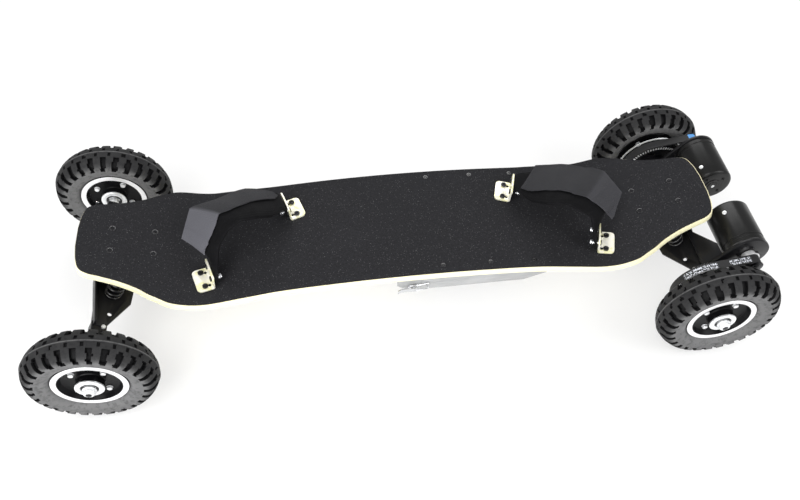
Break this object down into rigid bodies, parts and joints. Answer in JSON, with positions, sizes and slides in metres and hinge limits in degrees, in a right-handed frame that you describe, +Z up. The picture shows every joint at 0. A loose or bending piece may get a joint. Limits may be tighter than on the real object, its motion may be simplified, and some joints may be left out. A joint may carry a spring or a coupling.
{
  "type": "electric mountainboard",
  "caption": "Electric mountainboard: cambered deck with foot straps, open spring trucks, knobbly air tyres, twin belt drive and a battery case under the tail half.",
  "frame": {"origin": "on the ground under the middle of the wheelbase", "axes": "+X along the deck towards the motor end, +Z up, +Y across to the far side of the picture"},
  "size_m": [1.194, 0.446, 0.255],
  "materials": {
    "deck_wood": "clear-coated maple ply edge",
    "grip_tape": "coarse black grit",
    "case_skin": "pale satin",
    "battery_wrap": "shrink wrap",
    "controller_metal": "bare finned",
    "bright_steel": "bright zinc",
    "dark_steel": "blackened",
    "spring_black": "blackened spring wire",
    "yellow_zinc": "yellow passivated zinc",
    "black_plastic": "moulded",
    "strap_padding": "padded black fabric",
    "strap_weave": "grey woven webbing",
    "truck_black": "black anodised and painted",
    "tyre_rubber": "moulded knobbly tread",
    "rim_black": "black with a machined outer ring",
    "pulley_black": "moulded nylon",
    "belt_rubber": "toothed belt",
    "motor_black": "satin black can"
  },
  "bodies": {
    "board": {"deck_board": "deck_wood", "grip_tape": "grip_tape", "battery_case": "case_skin", "case_end_cap": "case_skin", "battery_pack": "battery_wrap", "motor_controller": "controller_metal", "button_bezel": "dark_steel", "charge_port": "black_plastic", "latch_base": "bright_steel", "strap_bracket_nose_near": "yellow_zinc", "strap_bracket_nose_far": "yellow_zinc", "strap_pad_nose": "strap_padding", "strap_band_nose": "strap_weave", "truck_bracket_nose": "truck_black", "kingpin_nose": "dark_steel", "spring_nose_near": "spring_black", "spring_nose_far": "spring_black", "strap_bracket_tail_near": "yellow_zinc", "strap_bracket_tail_far": "yellow_zinc", "strap_pad_tail": "strap_padding", "strap_band_tail": "strap_weave", "truck_bracket_tail": "truck_black", "kingpin_tail": "dark_steel", "spring_tail_near": "spring_black", "spring_tail_far": "spring_black"},
    "truck_nose": {"hanger_nose": "truck_black", "kingpin_bushing_nose": "black_plastic", "axle_nose": "bright_steel"},
    "truck_tail": {"hanger_tail": "truck_black", "kingpin_bushing_tail": "black_plastic", "axle_tail": "bright_steel", "belt_near": "belt_rubber", "motor_near": "motor_black", "motor_mount_near": "truck_black", "belt_far": "belt_rubber", "motor_far": "motor_black", "motor_mount_far": "truck_black"},
    "wheel_nose_near": {"tyre_nose_near": "tyre_rubber", "rim_nose_near": "rim_black", "wheel_bearings_nose_near": "bright_steel"},
    "wheel_nose_far": {"tyre_nose_far": "tyre_rubber", "rim_nose_far": "rim_black", "wheel_bearings_nose_far": "bright_steel"},
    "wheel_tail_near": {"tyre_tail_near": "tyre_rubber", "rim_tail_near": "rim_black", "wheel_bearings_tail_near": "bright_steel", "wheel_pulley_near": "pulley_black"},
    "wheel_tail_far": {"tyre_tail_far": "tyre_rubber", "rim_tail_far": "rim_black", "wheel_bearings_tail_far": "bright_steel", "wheel_pulley_far": "pulley_black"},
    "pinion_near": {"motor_pulley_near": "bright_steel"},
    "pinion_far": {"motor_pulley_far": "bright_steel"},
    "lever": {"latch_lever": "bright_steel"},
    "loop": {"latch_loop": "bright_steel"},
    "button": {"power_button": "bright_steel"}
  },
  "joints": [
    {"name": "lean_nose", "type": "hinge", "parent": "board", "child": "truck_nose", "pos_m": [-0.483, 0, 0.12425], "axis": [-0.866, 0, 0.5], "range_deg": [-12, 12], "stiffness_Nm_per_rad": 80, "deforming": ["spring_nose_near", "spring_nose_far"]},
    {"name": "lean_tail", "type": "hinge", "parent": "board", "child": "truck_tail", "pos_m": [0.483, 0, 0.12425], "axis": [0.866, 0, 0.5], "range_deg": [-12, 12], "stiffness_Nm_per_rad": 80, "deforming": ["spring_tail_near", "spring_tail_far"]},
    {"name": "spin_nose_near", "type": "hinge", "parent": "truck_nose", "child": "wheel_nose_near", "pos_m": [-0.497, -0.187, 0.1], "axis": [0, 1, 0], "continuous": true},
    {"name": "spin_nose_far", "type": "hinge", "parent": "truck_nose", "child": "wheel_nose_far", "pos_m": [-0.497, 0.187, 0.1], "axis": [0, 1, 0], "continuous": true},
    {"name": "spin_tail_near", "type": "hinge", "parent": "truck_tail", "child": "wheel_tail_near", "pos_m": [0.497, -0.187, 0.1], "axis": [0, 1, 0], "continuous": true},
    {"name": "spin_tail_far", "type": "hinge", "parent": "truck_tail", "child": "wheel_tail_far", "pos_m": [0.497, 0.187, 0.1], "axis": [0, 1, 0], "continuous": true},
    {"name": "drive_near", "type": "hinge", "parent": "truck_tail", "child": "pinion_near", "pos_m": [0.55498, -0.139, 0.15599], "axis": [0, 1, 0], "continuous": true},
    {"name": "drive_far", "type": "hinge", "parent": "truck_tail", "child": "pinion_far", "pos_m": [0.55498, 0.139, 0.15599], "axis": [0, 1, 0], "continuous": true},
    {"name": "latch_lever_swing", "type": "hinge", "parent": "board", "child": "lever", "pos_m": [0.011, -0.09, 0.103], "axis": [0, 0, 1], "range_deg": [0, 150]},
    {"name": "latch_loop_swing", "type": "hinge", "parent": "lever", "child": "loop", "pos_m": [0.004, -0.0898, 0.103], "axis": [0, 0, 1], "range_deg": [-150, 0]},
    {"name": "button_press", "type": "slide", "parent": "board", "child": "button", "axis": [0, -1, 0], "range_m": [0, 0.0015], "stiffness_N_per_m": 400}
  ],
  "couplings": [
    {"joint": "drive_near", "follows": "spin_tail_near", "ratio": 4.8},
    {"joint": "drive_far", "follows": "spin_tail_far", "ratio": 4.8},
    {"joint": "latch_loop_swing", "follows": "latch_lever_swing", "ratio": -1}
  ]
}
